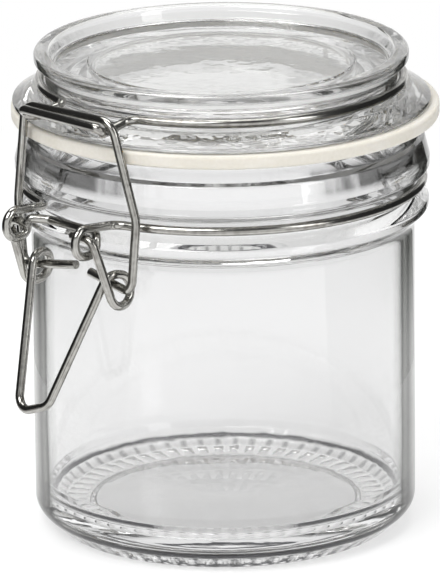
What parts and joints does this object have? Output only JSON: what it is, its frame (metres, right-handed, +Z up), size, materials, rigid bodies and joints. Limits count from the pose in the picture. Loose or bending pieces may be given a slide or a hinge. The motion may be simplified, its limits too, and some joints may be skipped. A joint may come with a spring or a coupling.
{
  "type": "clip-top storage jar",
  "caption": "Clear glass storage jar with a hinged glass lid, rubber sealing ring and wire bail closure with a lever handle.",
  "frame": {"origin": "on the jar's axis, in the plane of the foot ring it stands on", "axes": "+Z up along the jar's axis; the closure and its lever face -Y; the lid's hinge is at +Y"},
  "size_m": [0.0959, 0.1187, 0.1097],
  "materials": {
    "clear_glass": "clear pressed glass",
    "cream_rubber": "matt moulded rubber",
    "steel_wire": "bright drawn stainless wire"
  },
  "bodies": {
    "jar": {"jar_glass": "clear_glass", "neck_wire": "steel_wire"},
    "lid": {"lid_glass": "clear_glass", "gasket": "cream_rubber", "lid_wire": "steel_wire"},
    "lever": {"lever_wire": "steel_wire"},
    "bail": {"bail_wire": "steel_wire"}
  },
  "joints": [
    {"name": "lever_pivot", "type": "hinge", "parent": "jar", "child": "lever", "pos_m": [0, -0.0532, 0.0784], "axis": [-1, 0, 0], "range_deg": [0, 120]},
    {"name": "bail_pivot", "type": "hinge", "parent": "lever", "child": "bail", "pos_m": [0, -0.0466, 0.0663], "axis": [1, 0, 0], "range_deg": [0, 240]},
    {"name": "lid_hinge", "type": "hinge", "parent": "jar", "child": "lid", "pos_m": [0, 0.0532, 0.0784], "axis": [-1, 0, 0], "range_deg": [0, 190]}
  ],
  "couplings": [
    {"joint": "bail_pivot", "follows": "lever_pivot", "ratio": 2}
  ]
}
